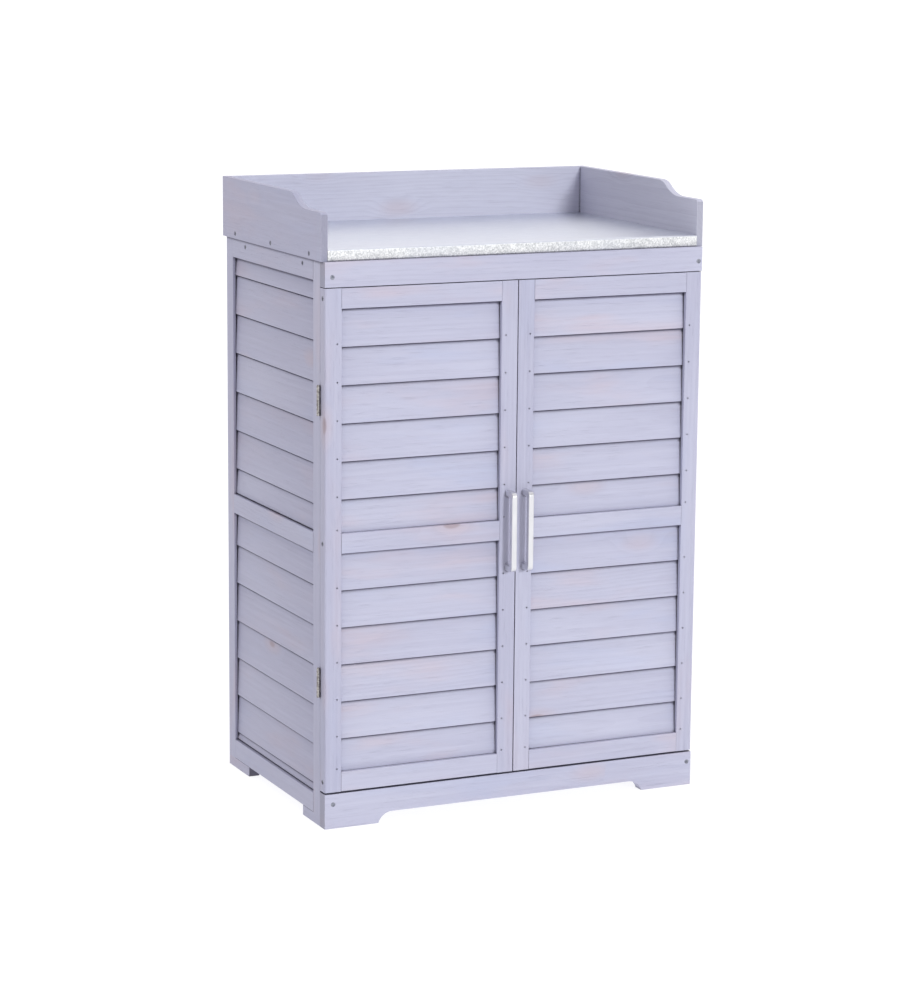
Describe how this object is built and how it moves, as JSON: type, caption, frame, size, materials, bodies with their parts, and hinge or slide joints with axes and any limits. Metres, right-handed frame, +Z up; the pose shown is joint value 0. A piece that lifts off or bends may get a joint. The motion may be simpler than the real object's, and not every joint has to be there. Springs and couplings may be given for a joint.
{
  "type": "potting bench",
  "caption": "Washed-wood garden cabinet with two hinged slatted doors, framed slatted sides, a zinc-clad worktop inside a low gallery, and bar handles.",
  "frame": {"origin": "centre of the footprint, handles included, on the floor", "axes": "+X to the right across the front, the doors face -Y, +Z up"},
  "size_m": [0.7122, 0.486, 1.059],
  "materials": {
    "washed_wood": "lilac-grey washed softwood",
    "inner_wood": "lilac-grey washed softwood",
    "zinc": "galvanised spangle",
    "handle_metal": "satin",
    "hinge_steel": "zinc plated",
    "screw_steel": "zinc plated",
    "catch_plastic": "moulded"
  },
  "bodies": {
    "cabinet": {"back_boards": "inner_wood", "back_rails": "inner_wood", "floor_battens": "inner_wood", "floor_panel": "inner_wood", "foot_blocks": "washed_wood", "front_apron": "washed_wood", "front_board_screws": "screw_steel", "gallery_back": "washed_wood", "gallery_left": "washed_wood", "gallery_right": "washed_wood", "gallery_screws": "screw_steel", "hinge_pins": "hinge_steel", "left_bottom_rail": "washed_wood", "left_front_post": "washed_wood", "left_middle_rail": "washed_wood", "left_rear_post": "washed_wood", "left_side_slats": "washed_wood", "left_top_rail": "washed_wood", "magnetic_catches": "catch_plastic", "plinth": "washed_wood", "post_hinge_leaves": "hinge_steel", "post_hinge_screws": "screw_steel", "right_bottom_rail": "washed_wood", "right_front_post": "washed_wood", "right_middle_rail": "washed_wood", "right_rear_post": "washed_wood", "right_side_slats": "washed_wood", "right_top_rail": "washed_wood", "shelf_cleats": "inner_wood", "shelf_panel": "inner_wood", "side_rail_screws": "screw_steel", "table_battens": "inner_wood", "table_board": "inner_wood", "zinc_sheet": "zinc"},
    "left_door": {"left_door_bottom_rail": "washed_wood", "left_door_frame_screws": "screw_steel", "left_door_hinge_leaves": "hinge_steel", "left_door_hinge_screws": "screw_steel", "left_door_inner_stile": "washed_wood", "left_door_middle_rail": "washed_wood", "left_door_nails": "screw_steel", "left_door_outer_stile": "washed_wood", "left_door_slats": "washed_wood", "left_door_top_rail": "washed_wood", "left_handle": "handle_metal", "left_handle_screws": "screw_steel", "left_strike_plate": "hinge_steel"},
    "right_door": {"right_door_bottom_rail": "washed_wood", "right_door_frame_screws": "screw_steel", "right_door_hinge_leaves": "hinge_steel", "right_door_hinge_screws": "screw_steel", "right_door_inner_stile": "washed_wood", "right_door_middle_rail": "washed_wood", "right_door_nails": "screw_steel", "right_door_outer_stile": "washed_wood", "right_door_slats": "washed_wood", "right_door_top_rail": "washed_wood", "right_handle": "handle_metal", "right_handle_screws": "screw_steel", "right_strike_plate": "hinge_steel"}
  },
  "joints": [
    {"name": "left_door_hinge", "type": "hinge", "parent": "cabinet", "child": "left_door", "pos_m": [-0.3533, -0.1945, 0.4874], "axis": [0, 0, -1], "range_deg": [0, 190]},
    {"name": "right_door_hinge", "type": "hinge", "parent": "cabinet", "child": "right_door", "pos_m": [0.3533, -0.1945, 0.4874], "axis": [0, 0, 1], "range_deg": [0, 190]}
  ]
}
